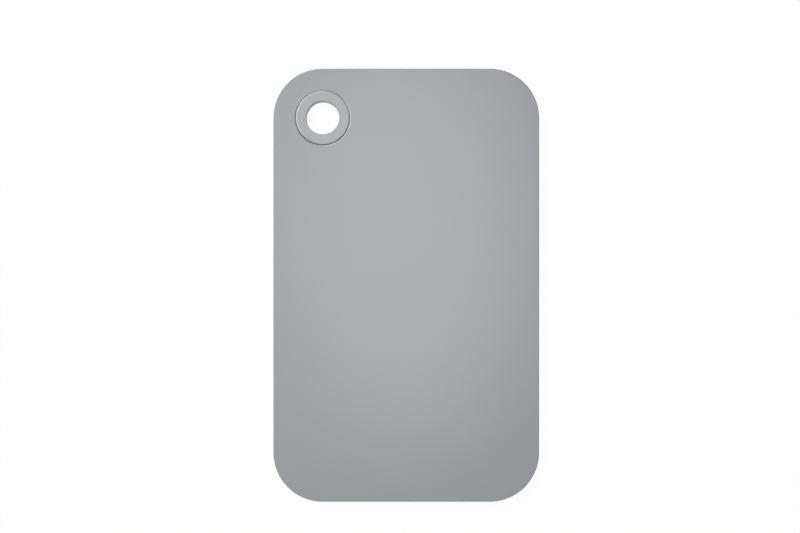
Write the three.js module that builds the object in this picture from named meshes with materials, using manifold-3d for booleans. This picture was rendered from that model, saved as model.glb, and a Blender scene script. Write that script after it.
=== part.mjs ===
// A breakfast board: a flat moulded board with round corners, and a soft ring that is
// clipped into a stepped hole in one corner, so that the board can hang on a hook.
//
// Millimetres, +Z up. The board lies on its underside with its length along Y, and the
// ring is in the -X, +Y corner. The origin is the middle of the underside.

import * as THREE from "three";
import { mergeVertices } from "three/addons/utils/BufferGeometryUtils.js";
import Module from "manifold-3d";

// Driving dimensions of the board
const boardWidth = 143;
const boardLength = 233;
const boardThickness = 8;
const cornerRadius = 26.5;
const edgeRounding = 0.4;

// Driving dimensions of the ring. It is shaped like a grommet: two flanges on a neck.
const hookHoleDiameter = 17.9;
const neckWall = 2.2;
const flangeReach = 3.3;
const ringBoreRounding = 0.25;

// Driving dimensions of the ring's seat in the board
const webThickness = 3.4;
const rimWidth = 11.78;

// The slope in which the faces of the board and of the ring fall away towards the gap between them
const lipReach = 0.8;
const lipDrop = 0.15;

// Clearances between the ring and its seat, and how far in them the ring has been pulled towards
// the end of the board by the hook that it hangs on
const shadowGap = 0.27;
const gripClearance = 0.25;
const ringSettle = 0.16;

// Fineness of the round stretches
const cornerSegments = 16;
const turnSegments = 64;
const roundingSegments = 3;

// How far a cutter stands out of the faces that it cuts
const cutOvershoot = 2;

// Sizes that follow from the driving dimensions
const boreRadius = hookHoleDiameter / 2;
const neckRadius = boreRadius + neckWall;
const ringRadius = neckRadius + flangeReach;
const seatRadius = ringRadius + shadowGap;
const webHoleRadius = neckRadius + gripClearance;
const seatDepth = (boardThickness - webThickness) / 2;
const flangeThickness = seatDepth - gripClearance;
const ringShift = Math.min(ringSettle, shadowGap, gripClearance);
const edgeRadius = Math.min(edgeRounding, boardThickness / 2);
const ringBoreRadius = Math.min(ringBoreRounding, boardThickness / 2, neckWall);

const wasm = await Module();
wasm.setup();

// A closed three.js geometry as a solid that can be cut.
function solidFrom(geometry) {
  const bare = geometry.clone();
  bare.deleteAttribute("normal");
  bare.deleteAttribute("uv");
  const merged = mergeVertices(bare);
  return new wasm.Manifold(
    new wasm.Mesh({
      numProp: 3,
      vertProperties: new Float32Array(merged.attributes.position.array),
      triVerts: new Uint32Array(merged.index.array),
    }),
  );
}

// A solid back as a three.js geometry.
function geometryFrom(solid) {
  const { vertProperties, triVerts } = solid.getMesh();
  const geometry = new THREE.BufferGeometry();
  geometry.setAttribute("position", new THREE.BufferAttribute(vertProperties, 3));
  geometry.setIndex(new THREE.BufferAttribute(triVerts, 1));
  geometry.computeVertexNormals();
  return geometry;
}

// Points of a quarter-round about a centre in the profile plane, from one angle a quarter turn on.
function quarterRound(centre, radius, startTurns, direction) {
  return Array.from({ length: roundingSegments + 1 }, (_, step) => {
    const turns = startTurns + (direction * 0.25 * step) / roundingSegments;
    const angle = 2 * Math.PI * turns;
    return new THREE.Vector2(
      centre.x + radius * Math.cos(angle),
      centre.y + radius * Math.sin(angle),
    );
  });
}

// A profile of radius and height turned about the Z axis.
function turned(profile) {
  return new THREE.LatheGeometry(profile, turnSegments).rotateX(Math.PI / 2);
}

// The board's outline, a rectangle with round corners, centred on the origin.
function boardOutline() {
  const halfWidth = boardWidth / 2;
  const halfLength = boardLength / 2;
  const radius = Math.min(cornerRadius, halfWidth, halfLength);
  const x = halfWidth - radius;
  const y = halfLength - radius;
  const quarter = Math.PI / 2;
  return new THREE.Shape()
    .absarc(x, y, radius, 0, quarter)
    .absarc(-x, y, radius, quarter, 2 * quarter)
    .absarc(-x, -y, radius, 2 * quarter, 3 * quarter)
    .absarc(x, -y, radius, 3 * quarter, 4 * quarter)
    .closePath();
}

// How far the ring's axis is from the two straight edges beside it. The seat keeps the same
// rim of board to those edges and, where the corner is rounder than the rim, to the corner's arc.
function ringInset() {
  const reach = seatRadius + rimWidth;
  const beyond = Math.max(cornerRadius - reach, 0);
  return reach + beyond * (1 - Math.SQRT1_2);
}

// The stepped hole as a cutter: a seat with a sloping lip in each face, and between
// the seats the web that the ring grips.
function seatCutter() {
  const mouthRadius = seatRadius + lipReach;
  const top = boardThickness;
  return turned([
    new THREE.Vector2(0, -cutOvershoot),
    new THREE.Vector2(mouthRadius, -cutOvershoot),
    new THREE.Vector2(mouthRadius, 0),
    new THREE.Vector2(seatRadius, lipDrop),
    new THREE.Vector2(seatRadius, seatDepth),
    new THREE.Vector2(webHoleRadius, seatDepth),
    new THREE.Vector2(webHoleRadius, top - seatDepth),
    new THREE.Vector2(seatRadius, top - seatDepth),
    new THREE.Vector2(seatRadius, top - lipDrop),
    new THREE.Vector2(mouthRadius, top),
    new THREE.Vector2(mouthRadius, top + cutOvershoot),
    new THREE.Vector2(0, top + cutOvershoot),
  ]);
}

// The board itself, with the ring's stepped hole.
function boardGeometry(ringPlace) {
  const slab = new THREE.ExtrudeGeometry(boardOutline(), {
    depth: boardThickness - 2 * edgeRadius,
    curveSegments: cornerSegments,
    bevelThickness: edgeRadius,
    bevelSize: edgeRadius,
    bevelOffset: -edgeRadius,
    bevelSegments: roundingSegments,
  }).translate(0, 0, edgeRadius);
  const cutter = seatCutter().translate(ringPlace.x, ringPlace.y, 0);
  return geometryFrom(solidFrom(slab).subtract(solidFrom(cutter)));
}

// The ring, turned from its section: a rounded bore, two flanges that lie flush with the
// board's faces and slope at the rim, and between them the groove that takes the board's web.
function ringGeometry() {
  const top = boardThickness;
  const boreX = boreRadius + ringBoreRadius;
  const section = [
    ...quarterRound(new THREE.Vector2(boreX, ringBoreRadius), ringBoreRadius, 0.5, 1),
    new THREE.Vector2(ringRadius - lipReach, 0),
    new THREE.Vector2(ringRadius, lipDrop),
    new THREE.Vector2(ringRadius, flangeThickness),
    new THREE.Vector2(neckRadius, flangeThickness),
    new THREE.Vector2(neckRadius, top - flangeThickness),
    new THREE.Vector2(ringRadius, top - flangeThickness),
    new THREE.Vector2(ringRadius, top - lipDrop),
    new THREE.Vector2(ringRadius - lipReach, top),
    ...quarterRound(new THREE.Vector2(boreX, top - ringBoreRadius), ringBoreRadius, 0.25, 1),
  ];
  return turned([...section, section[0].clone()]);
}

const inset = ringInset();
const ringPlace = new THREE.Vector2(-boardWidth / 2 + inset, boardLength / 2 - inset);

const boardPlastic = new THREE.MeshStandardMaterial({
  color: 0xa7acb0,
  roughness: 0.4,
  metalness: 0,
});
const ringElastomer = new THREE.MeshStandardMaterial({
  color: 0xb1b3b4,
  roughness: 0.5,
  metalness: 0,
});

const board = new THREE.Mesh(boardGeometry(ringPlace), boardPlastic);
board.name = "board";

const hangingRing = new THREE.Mesh(ringGeometry(), ringElastomer);
hangingRing.name = "hanging_ring";
hangingRing.position.set(ringPlace.x, ringPlace.y + ringShift, 0);

const breakfastBoard = new THREE.Group();
breakfastBoard.add(board, hangingRing);

export default breakfastBoard;
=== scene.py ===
"""A breakfast board with a soft hanging ring, dressed for a product picture on white.

Metres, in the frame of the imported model: the board lies on its underside with its length
along Y, and the ring is in the -X, +Y corner. +Z is up, towards the camera.
"""

import logging
from dataclasses import dataclass
from enum import Enum
from typing import Optional, Sequence, Union

import bmesh
import bpy
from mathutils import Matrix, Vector


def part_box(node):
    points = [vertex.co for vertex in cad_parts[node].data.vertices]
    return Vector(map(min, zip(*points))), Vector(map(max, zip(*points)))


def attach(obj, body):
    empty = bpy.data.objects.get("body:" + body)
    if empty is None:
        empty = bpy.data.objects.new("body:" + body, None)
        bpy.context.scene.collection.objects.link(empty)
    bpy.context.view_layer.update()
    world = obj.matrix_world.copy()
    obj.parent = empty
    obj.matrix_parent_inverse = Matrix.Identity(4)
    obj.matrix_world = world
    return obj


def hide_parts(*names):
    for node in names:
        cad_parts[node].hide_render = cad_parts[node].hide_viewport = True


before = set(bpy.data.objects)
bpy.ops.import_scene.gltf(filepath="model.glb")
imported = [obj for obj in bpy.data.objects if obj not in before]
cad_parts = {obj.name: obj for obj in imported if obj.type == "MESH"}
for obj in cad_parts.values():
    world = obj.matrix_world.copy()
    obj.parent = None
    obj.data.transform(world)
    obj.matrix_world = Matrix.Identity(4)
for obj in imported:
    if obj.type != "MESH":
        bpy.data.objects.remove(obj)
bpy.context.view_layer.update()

log = logging.getLogger("breakfast_board")

MM = 0.001

Feed = Union[float, int, bool, Sequence[float], bpy.types.ID, bpy.types.NodeSocket, "Length"]


class Slot(Enum):
    """The record's material slots."""

    BOARD = "board_plastic"
    RING = "ring_elastomer"


class NodeBench:
    """Places nodes in one node tree and feeds their inputs."""

    def __init__(self, tree: bpy.types.NodeTree) -> None:
        """Takes the tree that the nodes go into."""
        self.tree = tree

    @classmethod
    def cleared(cls, owner: Union[bpy.types.Material, bpy.types.World]) -> "NodeBench":
        """Empties the node tree of a material or a world.

        Args:
            owner: The material or the world.

        Returns:
            A bench for its tree.
        """
        owner.use_nodes = True
        owner.node_tree.nodes.clear()
        return cls(owner.node_tree)

    def feed(self, socket: bpy.types.NodeSocket, source: Feed) -> None:
        """Feeds one input.

        Args:
            socket: The input.
            source: A length or a socket, which is linked to it, or a plain value.
        """
        if isinstance(source, Length):
            source = source.socket
        if isinstance(source, bpy.types.NodeSocket):
            self.tree.links.new(source, socket)
        else:
            socket.default_value = source

    def place(
        self,
        kind: str,
        feeds: Optional[dict[Union[str, int], Feed]] = None,
        **settings: Union[str, bpy.types.NodeTree],
    ) -> bpy.types.Node:
        """Adds one node.

        Args:
            kind: The node's type name.
            feeds: What goes into each input, by its name or number.
            settings: The node's own settings, made before its inputs are fed.

        Returns:
            The new node.
        """
        node = self.tree.nodes.new(kind)
        for name, setting in settings.items():
            setattr(node, name, setting)
        for key, source in (feeds or {}).items():
            self.feed(node.inputs[key], source)
        return node


class Length:
    """A length inside a node tree, which adds and subtracts by placing Math nodes."""

    def __init__(self, bench: NodeBench, socket: bpy.types.NodeSocket) -> None:
        """Takes the bench that the Math nodes go on, and the socket that gives the length."""
        self.bench = bench
        self.socket = socket

    def _math(self, operation: str, other: Union["Length", float]) -> "Length":
        """The result of one Math node on this length and another number."""
        node = self.bench.place("ShaderNodeMath", {0: self, 1: other}, operation=operation)
        return Length(self.bench, node.outputs[0])

    def __add__(self, other: Union["Length", float]) -> "Length":
        """The sum of two lengths."""
        return self._math("ADD", other)

    def __sub__(self, other: Union["Length", float]) -> "Length":
        """The difference of two lengths."""
        return self._math("SUBTRACT", other)

    def __neg__(self) -> "Length":
        """The same length the other way."""
        return self._math("MULTIPLY", -1.0)

    def half(self) -> "Length":
        """Half of the length."""
        return self._math("MULTIPLY", 0.5)


@dataclass(frozen=True)
class Corner:
    """A corner of a section: its reach out from the path, its height, and its rounding."""

    reach: Union[Length, float]
    height: Union[Length, float]
    rounding: Union[Length, float] = 0.0


class ShapeTree:
    """A Geometry Nodes tree with named sizes, which draws sections and sweeps them along paths."""

    MATERIAL = "Material"
    SEAM = 0.001 * MM
    FACES_AT_OPEN_EDGE = 1

    def __init__(self, name: str) -> None:
        """Starts an empty tree.

        Args:
            name: The tree's name.
        """
        self.tree = bpy.data.node_groups.new(name, "GeometryNodeTree")
        self.bench = NodeBench(self.tree)
        self.entry = self.tree.nodes.new("NodeGroupInput")

    def _input(self, name: str, kind: str) -> bpy.types.NodeSocket:
        """Adds a named input of a socket type to the tree and gives the socket to link from."""
        self.tree.interface.new_socket(name, in_out="INPUT", socket_type=kind)
        return self.entry.outputs[name]

    def length(self, name: str) -> Length:
        """Adds a named length to the tree's inputs."""
        return Length(self.bench, self._input(name, "NodeSocketFloat"))

    def count(self, name: str) -> bpy.types.NodeSocket:
        """Adds a named whole number to the tree's inputs."""
        return self._input(name, "NodeSocketInt")

    def _by_index(self, kind: str, sources: Sequence[Feed]) -> bpy.types.NodeSocket:
        """Gives each point of a curve its own value.

        Args:
            kind: The values' data type.
            sources: What gives the value, for each point in order.

        Returns:
            The socket that holds the value of the point at hand.
        """
        switch = self.bench.place("GeometryNodeIndexSwitch", data_type=kind)
        while len(switch.index_switch_items) < len(sources):
            switch.index_switch_items.new()
        index = self.bench.place("GeometryNodeInputIndex")
        # The index itself goes into the first input, and the points' values into the next ones.
        for number, source in enumerate((index.outputs[0], *sources)):
            self.bench.feed(switch.inputs[number], source)
        return switch.outputs[0]

    def _rounded(
        self, curve: bpy.types.NodeSocket, radius: Feed, steps: bpy.types.NodeSocket
    ) -> bpy.types.NodeSocket:
        """Rounds the corners of a curve.

        Args:
            curve: The curve.
            radius: The radius, the same for all corners or the value of the point at hand.
            steps: The number of steps in each corner.

        Returns:
            The rounded curve.
        """
        rounded = self.bench.place(
            "GeometryNodeFilletCurve",
            {"Curve": curve, "Count": steps, "Radius": radius, "Limit Radius": True},
            mode="POLY",
        )
        return rounded.outputs["Curve"]

    def section(
        self, corners: Sequence[Corner], closed: bool, steps: bpy.types.NodeSocket
    ) -> bpy.types.NodeSocket:
        """Draws a section as straight sides with rounded corners.

        Args:
            corners: The corners in order.
            closed: Whether the last corner joins the first.
            steps: The number of steps in each rounding.

        Returns:
            The section as a curve, with its heights downwards, as a sweep lays them upwards.
        """
        bench = self.bench
        if closed:
            bare = bench.place("GeometryNodeCurvePrimitiveCircle", {"Resolution": len(corners)})
        else:
            line = bench.place("GeometryNodeCurvePrimitiveLine")
            bare = bench.place(
                "GeometryNodeResampleCurve",
                {"Curve": line.outputs["Curve"], "Count": len(corners)},
                mode="COUNT",
            )
        places = []
        for corner in corners:
            place = bench.place("ShaderNodeCombineXYZ", {"X": corner.reach, "Y": -corner.height})
            places.append(place.outputs[0])
        roundings = [corner.rounding for corner in corners]
        moved = bench.place(
            "GeometryNodeSetPosition",
            {"Geometry": bare.outputs["Curve"], "Position": self._by_index("VECTOR", places)},
        )
        return self._rounded(moved.outputs["Geometry"], self._by_index("FLOAT", roundings), steps)

    def circle(self, radius: Length, steps: bpy.types.NodeSocket) -> bpy.types.NodeSocket:
        """A circle about the origin as a path, with that many steps."""
        feeds = {"Resolution": steps, "Radius": radius}
        return self.bench.place("GeometryNodeCurvePrimitiveCircle", feeds).outputs["Curve"]

    def rounded_rectangle(
        self, width: Length, length: Length, rounding: Length, steps: bpy.types.NodeSocket
    ) -> bpy.types.NodeSocket:
        """A rectangle with round corners about the origin as a path.

        Args:
            width: Its size along X.
            length: Its size along Y.
            rounding: The radius of its corners.
            steps: The number of steps in each corner.

        Returns:
            The path.
        """
        sides = self.bench.place(
            "GeometryNodeCurvePrimitiveQuadrilateral",
            {"Width": width, "Height": length},
            mode="RECTANGLE",
        )
        return self._rounded(sides.outputs["Curve"], rounding, steps)

    def sweep(
        self, path: bpy.types.NodeSocket, section: bpy.types.NodeSocket
    ) -> bpy.types.NodeSocket:
        """Lays a section all along a flat path, upright, with its reach outwards.

        Args:
            path: The path.
            section: The section.

        Returns:
            The swept wall.
        """
        upright = self.bench.place("GeometryNodeSetCurveNormal", {"Curve": path}, mode="Z_UP")
        wall = self.bench.place(
            "GeometryNodeCurveToMesh",
            {"Curve": upright.outputs["Curve"], "Profile Curve": section},
        )
        return wall.outputs["Mesh"]

    def move(
        self,
        geometry: bpy.types.NodeSocket,
        x: Union[Length, float],
        y: Union[Length, float],
        z: Union[Length, float],
    ) -> bpy.types.NodeSocket:
        """Moves geometry.

        Args:
            geometry: The geometry.
            x: How far it goes along X.
            y: How far it goes along Y.
            z: How far it goes along Z.

        Returns:
            The moved geometry.
        """
        offset = self.bench.place("ShaderNodeCombineXYZ", {"X": x, "Y": y, "Z": z})
        feeds = {"Geometry": geometry, "Translation": offset.outputs[0]}
        return self.bench.place("GeometryNodeTransform", feeds).outputs["Geometry"]

    def join(self, *parts: bpy.types.NodeSocket) -> bpy.types.NodeSocket:
        """Puts several pieces of geometry together.

        Args:
            parts: The pieces.

        Returns:
            All of them as one geometry.
        """
        joined = self.bench.place("GeometryNodeJoinGeometry")
        for part in parts:
            self.bench.feed(joined.inputs["Geometry"], part)
        return joined.outputs["Geometry"]

    def lid(
        self, walls: bpy.types.NodeSocket, height: Length, upper: bool
    ) -> bpy.types.NodeSocket:
        """Closes the open ends of upright walls with a flat face.

        Args:
            walls: The walls, open at the top and at the bottom.
            height: The height of their top ends. The bottom ends are at zero.
            upper: Whether the face closes the top ends or the bottom ends.

        Returns:
            The flat face, with the walls' openings as its outlines.
        """
        bench = self.bench
        neighbours = bench.place("GeometryNodeInputMeshEdgeNeighbors")
        # The Compare node's inputs for whole numbers are its third and fourth.
        is_open = bench.place(
            "FunctionNodeCompare",
            {2: neighbours.outputs["Face Count"], 3: self.FACES_AT_OPEN_EDGE},
            data_type="INT",
            operation="EQUAL",
        )
        place = bench.place("GeometryNodeInputPosition")
        parts = bench.place("ShaderNodeSeparateXYZ", {0: place.outputs[0]})
        is_there = bench.place(
            "FunctionNodeCompare",
            {0: parts.outputs["Z"], 1: height.half()},
            data_type="FLOAT",
            operation="GREATER_THAN" if upper else "LESS_THAN",
        )
        both = bench.place(
            "FunctionNodeBooleanMath",
            {0: is_open.outputs[0], 1: is_there.outputs[0]},
            operation="AND",
        )
        rims = bench.place(
            "GeometryNodeMeshToCurve", {"Mesh": walls, "Selection": both.outputs[0]}
        )
        face = bench.place("GeometryNodeFillCurve", {"Curve": rims.outputs["Curve"]})
        return self.move(face.outputs["Mesh"], 0.0, 0.0, height if upper else 0.0)

    def close(self, geometry: bpy.types.NodeSocket) -> None:
        """Ends the tree: joins the seams, shades the faces smooth and gives them the material.

        Args:
            geometry: The whole shape.
        """
        bench = self.bench
        welded = bench.place(
            "GeometryNodeMergeByDistance", {"Geometry": geometry, "Distance": self.SEAM}
        )
        smooth = bench.place("GeometryNodeSetShadeSmooth", {"Geometry": welded.outputs[0]})
        real = bench.place("GeometryNodeRealizeInstances", {"Geometry": smooth.outputs[0]})
        material = self._input(self.MATERIAL, "NodeSocketMaterial")
        dressed = bench.place(
            "GeometryNodeSetMaterial", {"Geometry": real.outputs[0], "Material": material}
        )
        self.tree.interface.new_socket(
            "Geometry", in_out="OUTPUT", socket_type="NodeSocketGeometry"
        )
        bench.place("NodeGroupOutput", {0: dressed.outputs[0]})

    def make(
        self, name: str, sizes: dict[str, Union[float, int]], material: bpy.types.Material
    ) -> bpy.types.Object:
        """Runs the tree once and keeps what it makes as a plain mesh.

        Args:
            name: The piece's name.
            sizes: A value for each named length and number of the tree.
            material: The material of the whole piece.

        Returns:
            The piece, closed, with its faces outwards and no modifier left on it.
        """
        piece = bpy.data.objects.new(name, bpy.data.meshes.new(name))
        bpy.context.scene.collection.objects.link(piece)
        modifier = piece.modifiers.new(name, "NODES")
        modifier.node_group = self.tree
        values = {**sizes, self.MATERIAL: material}
        for item in self.tree.interface.items_tree:
            if item.in_out == "INPUT":
                modifier[item.identifier] = values[item.name]
        graph = bpy.context.evaluated_depsgraph_get()
        mesh = bpy.data.meshes.new_from_object(piece.evaluated_get(graph))
        piece.modifiers.remove(modifier)
        faces = bmesh.new()
        faces.from_mesh(mesh)
        bmesh.ops.recalc_face_normals(faces, faces=faces.faces)
        faces.to_mesh(mesh)
        faces.free()
        mesh.name = name
        piece.data = mesh
        return piece


class MouldedGrain:
    """The shared shader group for a moulded surface: a fine grain, a faint uneven tone and dull walls.

    The mould opens along Z and drags on the upright walls, which leaves them duller than the faces.
    A surface counts as a wall where its normal's Z is up to UPRIGHT, and as a face from LEVEL on.
    """

    NAME = "moulded_grain"
    UPRIGHT = 0.2
    LEVEL = 0.7
    TONE_DETAIL = 2.0
    GRAIN_DETAIL = 1.0

    @classmethod
    def group(cls) -> bpy.types.NodeTree:
        """Builds the group once.

        Returns:
            The group, which turns a colour, two roughnesses, and a place on the surface and its
            normal into a toned colour, an uneven roughness and a height.
        """
        made = bpy.data.node_groups.get(cls.NAME)
        if made is not None:
            return made
        tree = bpy.data.node_groups.new(cls.NAME, "ShaderNodeTree")
        bench = NodeBench(tree)
        for name, kind in (
            ("Vector", "NodeSocketVector"),
            ("Normal", "NodeSocketVector"),
            ("Colour", "NodeSocketColor"),
            ("Tone Change", "NodeSocketFloat"),
            ("Tone Scale", "NodeSocketFloat"),
            ("Roughness", "NodeSocketFloat"),
            ("Wall Roughness", "NodeSocketFloat"),
            ("Roughness Change", "NodeSocketFloat"),
            ("Grain Scale", "NodeSocketFloat"),
        ):
            tree.interface.new_socket(name, in_out="INPUT", socket_type=kind)
        for name, kind in (
            ("Colour", "NodeSocketColor"),
            ("Roughness", "NodeSocketFloat"),
            ("Height", "NodeSocketFloat"),
        ):
            tree.interface.new_socket(name, in_out="OUTPUT", socket_type=kind)
        entry = tree.nodes.new("NodeGroupInput").outputs
        clouds = bench.place(
            "ShaderNodeTexNoise",
            {"Vector": entry["Vector"], "Scale": entry["Tone Scale"], "Detail": cls.TONE_DETAIL},
        )
        grain = bench.place(
            "ShaderNodeTexNoise",
            {"Vector": entry["Vector"], "Scale": entry["Grain Scale"], "Detail": cls.GRAIN_DETAIL},
        )
        tone = cls._spread(bench, clouds.outputs["Fac"], 1.0, entry["Tone Change"])
        toned = bench.place(
            "ShaderNodeVectorMath", {0: entry["Colour"], 1: tone}, operation="MULTIPLY"
        )
        slope = bench.place("ShaderNodeSeparateXYZ", {0: entry["Normal"]})
        level = bench.place("ShaderNodeMath", {0: slope.outputs["Z"]}, operation="ABSOLUTE")
        dulled = bench.place(
            "ShaderNodeMapRange",
            {
                "Value": level.outputs[0],
                "From Min": cls.UPRIGHT,
                "From Max": cls.LEVEL,
                "To Min": entry["Wall Roughness"],
                "To Max": entry["Roughness"],
            },
            interpolation_type="SMOOTHSTEP",
        )
        rough = cls._spread(
            bench, grain.outputs["Fac"], dulled.outputs["Result"], entry["Roughness Change"]
        )
        bench.place(
            "NodeGroupOutput",
            {
                "Colour": toned.outputs[0],
                "Roughness": rough,
                "Height": grain.outputs["Fac"],
            },
        )
        return tree

    @staticmethod
    def _spread(
        bench: NodeBench, noise: bpy.types.NodeSocket, middle: Feed, change: bpy.types.NodeSocket
    ) -> bpy.types.NodeSocket:
        """Spreads a noise about a middle value.

        Args:
            bench: The bench of the group.
            noise: The noise, from 0 to 1.
            middle: The value where the noise is at a half.
            change: How far the value goes up or down where the noise is at its ends.

        Returns:
            The spread value.
        """
        # Twice the noise less one runs from -1 to 1.
        signed = bench.place(
            "ShaderNodeMath", {0: noise, 1: 2.0, 2: -1.0}, operation="MULTIPLY_ADD"
        )
        spread = bench.place(
            "ShaderNodeMath", {0: signed.outputs[0], 1: change, 2: middle}, operation="MULTIPLY_ADD"
        )
        return spread.outputs[0]


@dataclass(frozen=True)
class MouldedFinish:
    """A moulded surface: its colour, the gloss of its faces and walls, and the size of its grain."""

    slot: Slot
    colour: tuple[float, float, float]
    roughness: float
    wall_roughness: float
    roughness_change: float = 0.04
    tone_change: float = 0.02
    tone_size: float = 30 * MM
    grain_size: float = 0.3 * MM
    grain_depth: float = 0.003 * MM

    def material(self) -> bpy.types.Material:
        """Builds the finish.

        Returns:
            The material.
        """
        material = bpy.data.materials.new(self.slot.value)
        bench = NodeBench.cleared(material)
        place = bench.place("ShaderNodeTexCoord")
        grain = bench.place(
            "ShaderNodeGroup",
            {
                "Vector": place.outputs["Object"],
                "Normal": place.outputs["Normal"],
                "Colour": (*self.colour, 1.0),
                "Tone Change": self.tone_change,
                "Tone Scale": 1.0 / self.tone_size,
                "Roughness": self.roughness,
                "Wall Roughness": self.wall_roughness,
                "Roughness Change": self.roughness_change,
                "Grain Scale": 1.0 / self.grain_size,
            },
            node_tree=MouldedGrain.group(),
        )
        bump = bench.place(
            "ShaderNodeBump", {"Height": grain.outputs["Height"], "Distance": self.grain_depth}
        )
        skin = bench.place(
            "ShaderNodeBsdfPrincipled",
            {
                "Base Color": grain.outputs["Colour"],
                "Roughness": grain.outputs["Roughness"],
                "Normal": bump.outputs["Normal"],
            },
        )
        bench.place("ShaderNodeOutputMaterial", {"Surface": skin.outputs["BSDF"]})
        return material


BOARD_PLASTIC = MouldedFinish(
    slot=Slot.BOARD,
    colour=(0.386, 0.411, 0.431),
    roughness=0.22,
    wall_roughness=0.4,
)
RING_ELASTOMER = MouldedFinish(
    slot=Slot.RING,
    colour=(0.44, 0.452, 0.459),
    roughness=0.27,
    wall_roughness=0.42,
)


@dataclass(frozen=True)
class Lip:
    """The soft slope down to the gap, which the board and the ring both have on both faces."""

    reach: float = 0.8 * MM
    drop: float = 0.15 * MM
    softness: float = 3 * MM
    nose: float = 0.15 * MM

    def sizes(self) -> dict[str, float]:
        """Lists the lip's sizes.

        Returns:
            Each size by the name of its input in a shape tree.
        """
        return {
            "Lip Reach": self.reach,
            "Lip Drop": self.drop,
            "Lip Softness": self.softness,
            "Lip Nose": self.nose,
        }


@dataclass
class BoardBody:
    """The moulded board, with the stepped hole that the ring is clipped into."""

    width: float
    length: float
    thickness: float
    seat_x: float
    seat_y: float
    corner_radius: float = 26.5 * MM
    edge_rounding: float = 0.4 * MM
    seat_radius: float = 14.72 * MM
    seat_depth: float = 2.3 * MM
    web_hole_radius: float = 11.4 * MM
    lip: Lip = Lip()
    flat_band: float = 0.8 * MM
    corner_steps: int = 24
    turn_steps: int = 128
    rounding_steps: int = 8

    def _tree(self) -> ShapeTree:
        """Draws the rule that the board's shape follows.

        Returns:
            The tree: an edge swept round the outline, a stepped wall swept round the hole, and
            the two flat faces between them.
        """
        tree = ShapeTree("board_shape")
        width = tree.length("Width")
        length = tree.length("Length")
        thickness = tree.length("Thickness")
        corner_radius = tree.length("Corner Radius")
        edge = tree.length("Edge Rounding")
        seat = tree.length("Seat Radius")
        depth = tree.length("Seat Depth")
        web = tree.length("Web Hole Radius")
        reach = tree.length("Lip Reach")
        drop = tree.length("Lip Drop")
        softness = tree.length("Lip Softness")
        nose = tree.length("Lip Nose")
        band = tree.length("Flat Band")
        seat_x = tree.length("Seat X")
        seat_y = tree.length("Seat Y")
        corner_steps = tree.count("Corner Steps")
        turn_steps = tree.count("Turn Steps")
        rounding_steps = tree.count("Rounding Steps")

        margin = edge + band
        rim = tree.section(
            [
                Corner(-margin, 0.0),
                Corner(0.0, 0.0, edge),
                Corner(0.0, margin),
                Corner(0.0, thickness - margin),
                Corner(0.0, thickness, edge),
                Corner(-margin, thickness),
            ],
            closed=False,
            steps=rounding_steps,
        )
        outline = tree.rounded_rectangle(width, length, corner_radius, corner_steps)
        step = seat - web
        shoulder = step + reach
        flat = shoulder + band
        stepped = tree.section(
            [
                Corner(flat, 0.0),
                Corner(shoulder, 0.0, softness),
                Corner(step, drop, nose),
                Corner(step, depth),
                Corner(0.0, depth),
                Corner(0.0, thickness - depth),
                Corner(step, thickness - depth),
                Corner(step, thickness - drop, nose),
                Corner(shoulder, thickness, softness),
                Corner(flat, thickness),
            ],
            closed=False,
            steps=rounding_steps,
        )
        hole = tree.sweep(tree.circle(web, turn_steps), stepped)
        walls = tree.join(tree.sweep(outline, rim), tree.move(hole, seat_x, seat_y, 0.0))
        faces = tree.join(
            walls,
            tree.lid(walls, thickness, upper=True),
            tree.lid(walls, thickness, upper=False),
        )
        tree.close(faces)
        return tree

    def build(self, finish: MouldedFinish) -> bpy.types.Object:
        """Makes the board and puts it in the place of its solid.

        Args:
            finish: The board's finish.

        Returns:
            The board.
        """
        sizes = {
            "Width": self.width,
            "Length": self.length,
            "Thickness": self.thickness,
            "Corner Radius": self.corner_radius,
            "Edge Rounding": self.edge_rounding,
            "Seat Radius": self.seat_radius,
            "Seat Depth": self.seat_depth,
            "Web Hole Radius": self.web_hole_radius,
            **self.lip.sizes(),
            "Flat Band": self.flat_band,
            "Seat X": self.seat_x,
            "Seat Y": self.seat_y,
            "Corner Steps": self.corner_steps,
            "Turn Steps": self.turn_steps,
            "Rounding Steps": self.rounding_steps,
        }
        piece = self._tree().make("moulded_board", sizes, finish.material())
        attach(piece, "root")
        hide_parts("board")
        return piece


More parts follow.
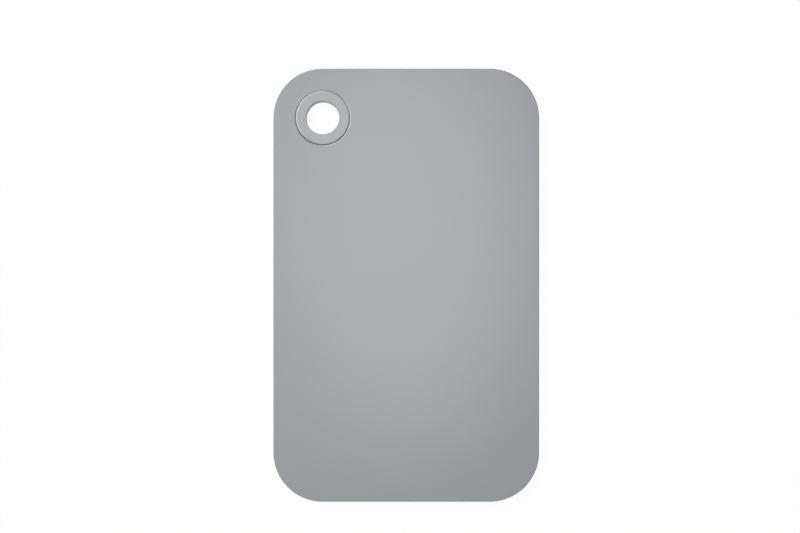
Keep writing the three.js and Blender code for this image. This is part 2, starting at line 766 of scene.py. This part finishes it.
@dataclass
class HangingRing:
    """The soft ring: two flanges with sloping lips on a neck, and a rounded bore for the hook.

    It has settled off the middle of its seat, towards +Y.
    """

    height: float
    x: float
    y: float
    bore_radius: float = 8.95 * MM
    neck_radius: float = 11.15 * MM
    flange_radius: float = 14.45 * MM
    flange_thickness: float = 2.05 * MM
    bore_rounding: float = 0.25 * MM
    settle: float = 0.16 * MM
    lip: Lip = Lip()
    flat_band: float = 0.8 * MM
    turn_steps: int = 128
    rounding_steps: int = 8

    def _tree(self) -> ShapeTree:
        """Draws the rule that the ring's shape follows.

        Returns:
            The tree: the ring's section swept round the bore.
        """
        tree = ShapeTree("ring_shape")
        height = tree.length("Height")
        bore = tree.length("Bore Radius")
        neck = tree.length("Neck Radius")
        flange = tree.length("Flange Radius")
        thickness = tree.length("Flange Thickness")
        bore_rounding = tree.length("Bore Rounding")
        reach = tree.length("Lip Reach")
        drop = tree.length("Lip Drop")
        softness = tree.length("Lip Softness")
        nose = tree.length("Lip Nose")
        band = tree.length("Flat Band")
        x = tree.length("X")
        y = tree.length("Y")
        turn_steps = tree.count("Turn Steps")
        rounding_steps = tree.count("Rounding Steps")

        rim = flange - bore
        groove = neck - bore
        shoulder = rim - reach
        inner_flat = bore_rounding + band
        outer_flat = shoulder - band
        section = tree.section(
            [
                Corner(0.0, 0.0, bore_rounding),
                Corner(inner_flat, 0.0),
                Corner(outer_flat, 0.0),
                Corner(shoulder, 0.0, softness),
                Corner(rim, drop, nose),
                Corner(rim, thickness),
                Corner(groove, thickness),
                Corner(groove, height - thickness),
                Corner(rim, height - thickness),
                Corner(rim, height - drop, nose),
                Corner(shoulder, height, softness),
                Corner(outer_flat, height),
                Corner(inner_flat, height),
                Corner(0.0, height, bore_rounding),
                Corner(0.0, height - inner_flat),
                Corner(0.0, inner_flat),
            ],
            closed=True,
            steps=rounding_steps,
        )
        turned = tree.sweep(tree.circle(bore, turn_steps), section)
        tree.close(tree.move(turned, x, y, 0.0))
        return tree

    def build(self, finish: MouldedFinish) -> bpy.types.Object:
        """Makes the ring and puts it in the place of its solid.

        Args:
            finish: The ring's finish.

        Returns:
            The ring.
        """
        sizes = {
            "Height": self.height,
            "Bore Radius": self.bore_radius,
            "Neck Radius": self.neck_radius,
            "Flange Radius": self.flange_radius,
            "Flange Thickness": self.flange_thickness,
            "Bore Rounding": self.bore_rounding,
            **self.lip.sizes(),
            "Flat Band": self.flat_band,
            "X": self.x,
            "Y": self.y,
            "Turn Steps": self.turn_steps,
            "Rounding Steps": self.rounding_steps,
        }
        piece = self._tree().make("soft_ring", sizes, finish.material())
        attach(piece, "root")
        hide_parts("hanging_ring")
        return piece


@dataclass(frozen=True)
class PictureFrame:
    """Where the board's outline lies in the picture, and how far away the camera is."""

    width_px: float = 800.0
    height_px: float = 533.0
    board_left_px: float = 273.35
    board_right_px: float = 539.1
    board_top_px: float = 68.6
    board_bottom_px: float = 501.75
    camera_height: float = 745 * MM
    sensor_width_mm: float = 36.0

    def camera(self, board: BoardBody) -> bpy.types.Object:
        """Sets up the camera straight above the board.

        Args:
            board: The board in the picture.

        Returns:
            The camera.
        """
        scale = board.width / (self.board_right_px - self.board_left_px)
        right = (self.board_left_px + self.board_right_px - self.width_px) / 2
        below = (self.board_top_px + self.board_bottom_px - self.height_px) / 2
        outline_height = board.thickness - board.edge_rounding
        data = bpy.data.cameras.new("picture_camera")
        data.sensor_width = self.sensor_width_mm
        data.lens = self.sensor_width_mm * self.camera_height / (self.width_px * scale)
        camera = bpy.data.objects.new("picture_camera", data)
        camera.location = (-right * scale, below * scale, outline_height + self.camera_height)
        bpy.context.scene.collection.objects.link(camera)
        bpy.context.scene.camera = camera
        return camera


@dataclass(frozen=True)
class Softbox:
    """An oval lamp: its place, its size, its power and what it points at."""

    name: str
    place: tuple[float, float, float]
    width: float
    height: float
    watts: float
    aim: tuple[float, float, float] = (0.0, 0.0, 0.0)

    def build(self) -> bpy.types.Object:
        """Puts up the lamp.

        Returns:
            The lamp.
        """
        data = bpy.data.lights.new(self.name, "AREA")
        data.shape = "ELLIPSE"
        data.size = self.width
        data.size_y = self.height
        data.energy = self.watts
        lamp = bpy.data.objects.new(self.name, data)
        lamp.location = self.place
        way = Vector(self.aim) - Vector(self.place)
        lamp.rotation_euler = way.to_track_quat("-Z", "Y").to_euler()
        bpy.context.scene.collection.objects.link(lamp)
        return lamp


LEFT_SOFTBOX = Softbox(
    name="left_softbox",
    place=(-0.628, 0.168, 1.126),
    width=1.0,
    height=0.4,
    watts=8.65,
)
FAR_SOFTBOX = Softbox(
    name="far_softbox",
    place=(-0.216, 0.807, 0.996),
    width=0.5,
    height=0.5,
    watts=5.06,
)
OVERHEAD_SOFTBOX = Softbox(
    name="overhead_softbox",
    place=(0.004, 0.03, 0.9),
    width=0.28,
    height=0.46,
    watts=0.995,
    aim=(0.004, 0.03, 0.0),
)


@dataclass
class Studio:
    """The white floor, the white surroundings and the lamps."""

    lamps: tuple[Softbox, ...] = (LEFT_SOFTBOX, FAR_SOFTBOX, OVERHEAD_SOFTBOX)
    floor_size: float = 6.0
    floor_drop: float = 0.1 * MM
    floor_glow: float = 0.97
    floor_tone: float = 0.8

    @staticmethod
    def _grey(level: float) -> tuple[float, float, float, float]:
        """An opaque grey of that level."""
        return (level, level, level, 1.0)

    @staticmethod
    def _seen(bench: NodeBench) -> bpy.types.NodeSocket:
        """Tells the rays that see the background from those that only carry light.

        Args:
            bench: The bench of the floor's or the world's tree.

        Returns:
            A socket that is 1 for camera, glossy and transmission rays and 0 for others.
        """
        path = bench.place("ShaderNodeLightPath").outputs
        first = bench.place(
            "ShaderNodeMath",
            {0: path["Is Camera Ray"], 1: path["Is Glossy Ray"]},
            operation="MAXIMUM",
        )
        second = bench.place(
            "ShaderNodeMath",
            {0: first.outputs[0], 1: path["Is Transmission Ray"]},
            operation="MAXIMUM",
        )
        return second.outputs[0]

    def _floor_finish(self) -> bpy.types.Material:
        """Builds the floor's finish: near white with faint shadows where it is seen.

        Returns:
            The material, which sends light back to the board as a plain pale floor does.
        """
        material = bpy.data.materials.new("studio_floor")
        bench = NodeBench.cleared(material)
        seen = self._seen(bench)
        pale = bench.place("ShaderNodeBsdfDiffuse", {"Color": self._grey(self.floor_tone)})
        shaded = bench.place("ShaderNodeBsdfDiffuse", {"Color": self._grey(1.0 - self.floor_glow)})
        glow = bench.place("ShaderNodeEmission", {"Strength": self.floor_glow})
        white = bench.place("ShaderNodeAddShader", {0: shaded.outputs[0], 1: glow.outputs[0]})
        floor = bench.place(
            "ShaderNodeMixShader", {0: seen, 1: pale.outputs[0], 2: white.outputs[0]}
        )
        bench.place("ShaderNodeOutputMaterial", {"Surface": floor.outputs[0]})
        return material

    def _floor(self) -> bpy.types.Object:
        """Lays the floor.

        Returns:
            The floor.
        """
        half = self.floor_size / 2
        corners = [(-half, -half), (half, -half), (half, half), (-half, half)]
        mesh = bpy.data.meshes.new("studio_floor")
        mesh.from_pydata([(x, y, -self.floor_drop) for x, y in corners], [], [(0, 1, 2, 3)])
        mesh.materials.append(self._floor_finish())
        piece = bpy.data.objects.new("studio_floor", mesh)
        bpy.context.scene.collection.objects.link(piece)
        return piece

    def _world(self) -> None:
        """Makes the surroundings: white where they are seen, with no light of their own otherwise."""
        world = bpy.data.worlds.new("studio_surroundings")
        bpy.context.scene.world = world
        bench = NodeBench.cleared(world)
        light = bench.place("ShaderNodeBackground", {"Strength": self._seen(bench)})
        bench.place("ShaderNodeOutputWorld", {"Surface": light.outputs[0]})

    def build(self) -> None:
        """Sets up the floor, the surroundings and the lamps."""
        self._floor()
        self._world()
        for lamp in self.lamps:
            lamp.build()


def main() -> None:
    """Builds the pieces and the studio in order."""
    logging.basicConfig(level=logging.INFO, format="%(name)s: %(message)s")
    bpy.context.scene.view_settings.view_transform = "Standard"
    low, high = (Vector(corner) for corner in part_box("board"))
    ring_low, ring_high = (Vector(corner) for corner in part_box("hanging_ring"))
    size = high - low
    ring_place = (ring_low + ring_high) / 2

    ring = HangingRing(height=ring_high.z - ring_low.z, x=ring_place.x, y=ring_place.y)
    board = BoardBody(
        width=size.x,
        length=size.y,
        thickness=size.z,
        seat_x=ring.x,
        seat_y=ring.y - ring.settle,
    )
    PictureFrame().camera(board)
    for piece in (board.build(BOARD_PLASTIC), ring.build(RING_ELASTOMER)):
        log.info("%s: %d faces", piece.name, len(piece.data.polygons))
    Studio().build()


if __name__ == "__main__":
    main()
